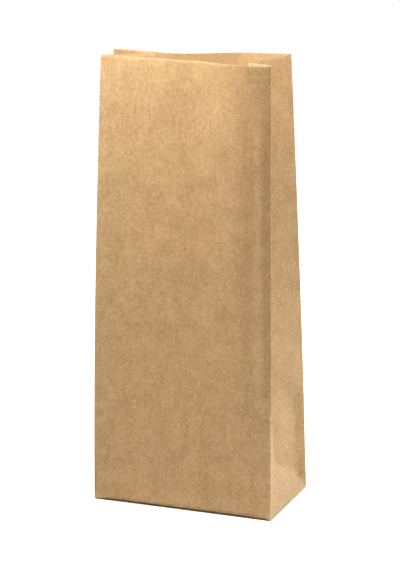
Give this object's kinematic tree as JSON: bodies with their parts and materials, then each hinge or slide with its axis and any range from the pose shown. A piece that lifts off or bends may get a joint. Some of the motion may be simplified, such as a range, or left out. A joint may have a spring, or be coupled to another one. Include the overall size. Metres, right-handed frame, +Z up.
{
  "type": "paper lunch bag",
  "caption": "Tall open kraft paper bag with a flat block bottom, folded-in side gussets and a straight-cut mouth, standing by itself.",
  "frame": {"origin": "middle of the flat bottom, at the underside of its pasted flap, on the ground", "axes": "+Z up out of the mouth, -Y out of the front, which is the wide panel without the pasted seam; +X to the right as seen from the front"},
  "size_m": [0.1259, 0.0714, 0.285],
  "materials": {
    "kraft_paper": "uncoated, matte, natural brown"
  },
  "bodies": {
    "root": {"bag": "kraft_paper"}
  },
  "joints": []
}
